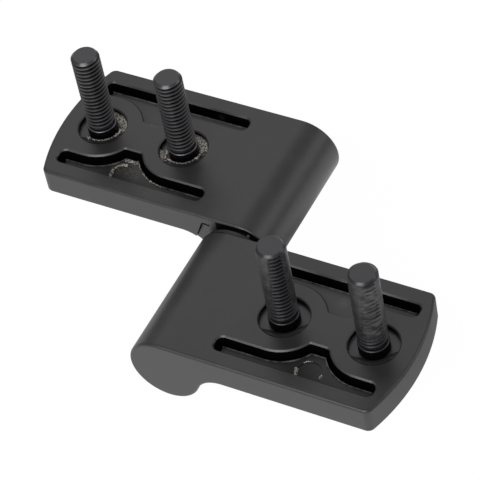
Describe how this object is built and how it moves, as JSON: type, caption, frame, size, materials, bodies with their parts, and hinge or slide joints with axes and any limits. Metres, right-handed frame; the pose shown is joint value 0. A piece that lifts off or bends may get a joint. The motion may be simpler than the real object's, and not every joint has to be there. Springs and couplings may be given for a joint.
{
  "type": "friction hinge",
  "caption": "Friction hinge: offset cast leaves turning on a shared barrel axis, with threaded mounting studs and a keyed stack of spring clips on the shaft that holds any angle.",
  "frame": {"origin": "midway between the frame leaf's studs, on its mounting face", "axes": "+X from the frame leaf to the door leaf, +Y along the hinge axis, +Z out of the mounting face along the studs"},
  "size_m": [0.095, 0.0634, 0.0356],
  "materials": {
    "powder_coat": "satin black powder coat on cast zinc, fine texture",
    "black_oxide": "black oxide on rolled thread, lightly oiled",
    "coated_thread": "thread with a smooth film of black coating, worn through in places",
    "bare_zinc": "ragged bare casting flash, matt",
    "shaft_steel": "ground steel",
    "spring_steel": "hardened spring steel, oiled",
    "bush_plastic": "black acetal"
  },
  "bodies": {
    "frame_side": {"frame_leaf": "powder_coat", "frame_stud_inner": "black_oxide", "frame_stud_outer": "black_oxide", "hinge_shaft": "shaft_steel", "thrust_washer": "shaft_steel"},
    "door_side": {"door_leaf": "powder_coat", "door_stud_inner": "coated_thread", "door_stud_outer": "coated_thread", "mouth_bush": "bush_plastic", "stack_washer": "shaft_steel", "friction_clip_01": "spring_steel", "friction_clip_02": "spring_steel", "friction_clip_03": "spring_steel", "friction_clip_04": "spring_steel", "friction_clip_05": "spring_steel", "friction_clip_06": "spring_steel", "friction_clip_07": "spring_steel", "friction_clip_08": "spring_steel", "friction_clip_09": "spring_steel", "friction_clip_10": "spring_steel", "friction_clip_11": "spring_steel", "friction_clip_12": "spring_steel"}
  },
  "joints": [
    {"name": "leaf_swing", "type": "hinge", "parent": "frame_side", "child": "door_side", "pos_m": [0.02923, -0.0163, -0.0075], "axis": [0, 1, 0], "range_deg": [-90, 180]}
  ]
}
